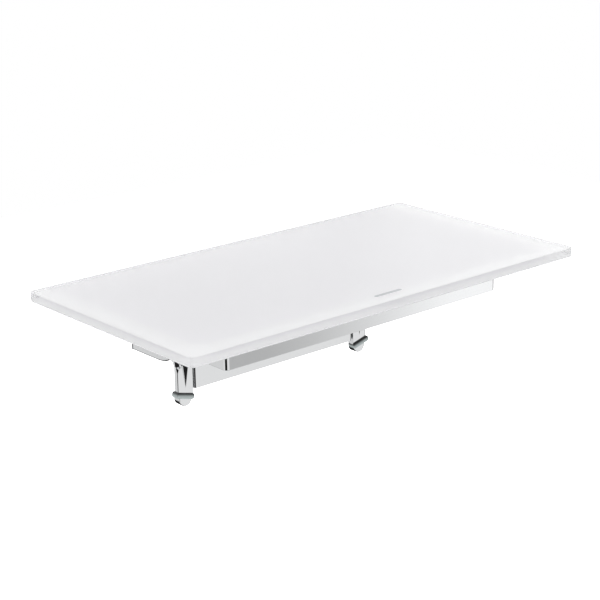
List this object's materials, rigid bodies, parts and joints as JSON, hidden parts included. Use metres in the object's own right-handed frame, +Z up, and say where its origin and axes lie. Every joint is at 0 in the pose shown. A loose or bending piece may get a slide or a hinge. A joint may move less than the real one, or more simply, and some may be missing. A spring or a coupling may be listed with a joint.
{
  "type": "shower shelf",
  "caption": "Shower shelf: a white-backed glass pane that lifts off a chrome holder, hung behind a mixer by hooks with rubber sleeves.",
  "frame": {"origin": "on the wall plane, midway between the hooks, level with the lower edge of the lips under their arms", "axes": "+Z up, +X to the right as seen from the front, +Y into the wall, so the shelf reaches out along -Y"},
  "size_m": [0.315, 0.168, 0.084],
  "materials": {
    "clear_glass": "clear float glass with polished edges",
    "white_lacquer": "white lacquer on the back of the glass",
    "polished_chrome": "bright chrome plating",
    "bonded_steel": "plain stainless steel sheet",
    "plated_fasteners": "bright zinc plating",
    "grey_rubber": "smooth grey elastomer, satin",
    "clear_silicone": "milky clear silicone"
  },
  "bodies": {
    "holder": {"holder_band": "polished_chrome", "holder_plate": "bonded_steel", "apron": "polished_chrome", "apron_screw_1": "plated_fasteners", "apron_screw_2": "plated_fasteners", "apron_screw_3": "plated_fasteners", "apron_screw_4": "plated_fasteners", "apron_nut_1": "plated_fasteners", "apron_nut_2": "plated_fasteners", "apron_nut_3": "plated_fasteners", "apron_nut_4": "plated_fasteners", "hook_left": "polished_chrome", "hook_pad_left": "grey_rubber", "wall_buffer_left": "grey_rubber", "hook_screw_left_1": "plated_fasteners", "hook_nut_left_1": "plated_fasteners", "hook_screw_left_2": "plated_fasteners", "hook_nut_left_2": "plated_fasteners", "hook_right": "polished_chrome", "hook_pad_right": "grey_rubber", "wall_buffer_right": "grey_rubber", "hook_screw_right_1": "plated_fasteners", "hook_nut_right_1": "plated_fasteners", "hook_screw_right_2": "plated_fasteners", "hook_nut_right_2": "plated_fasteners"},
    "pane": {"glass_pane": "clear_glass", "white_backing": "white_lacquer", "locating_stud_front_left": "bonded_steel", "locating_stud_front_right": "bonded_steel", "locating_stud_rear_left": "bonded_steel", "locating_stud_rear_right": "bonded_steel", "cushion_washer_front_left": "clear_silicone", "cushion_washer_front_right": "clear_silicone", "cushion_washer_rear_left": "clear_silicone", "cushion_washer_rear_right": "clear_silicone"}
  },
  "joints": [
    {"name": "pane_lift", "type": "slide", "parent": "holder", "child": "pane", "axis": [0, 0, 1], "range_m": [0, 0.05]}
  ]
}
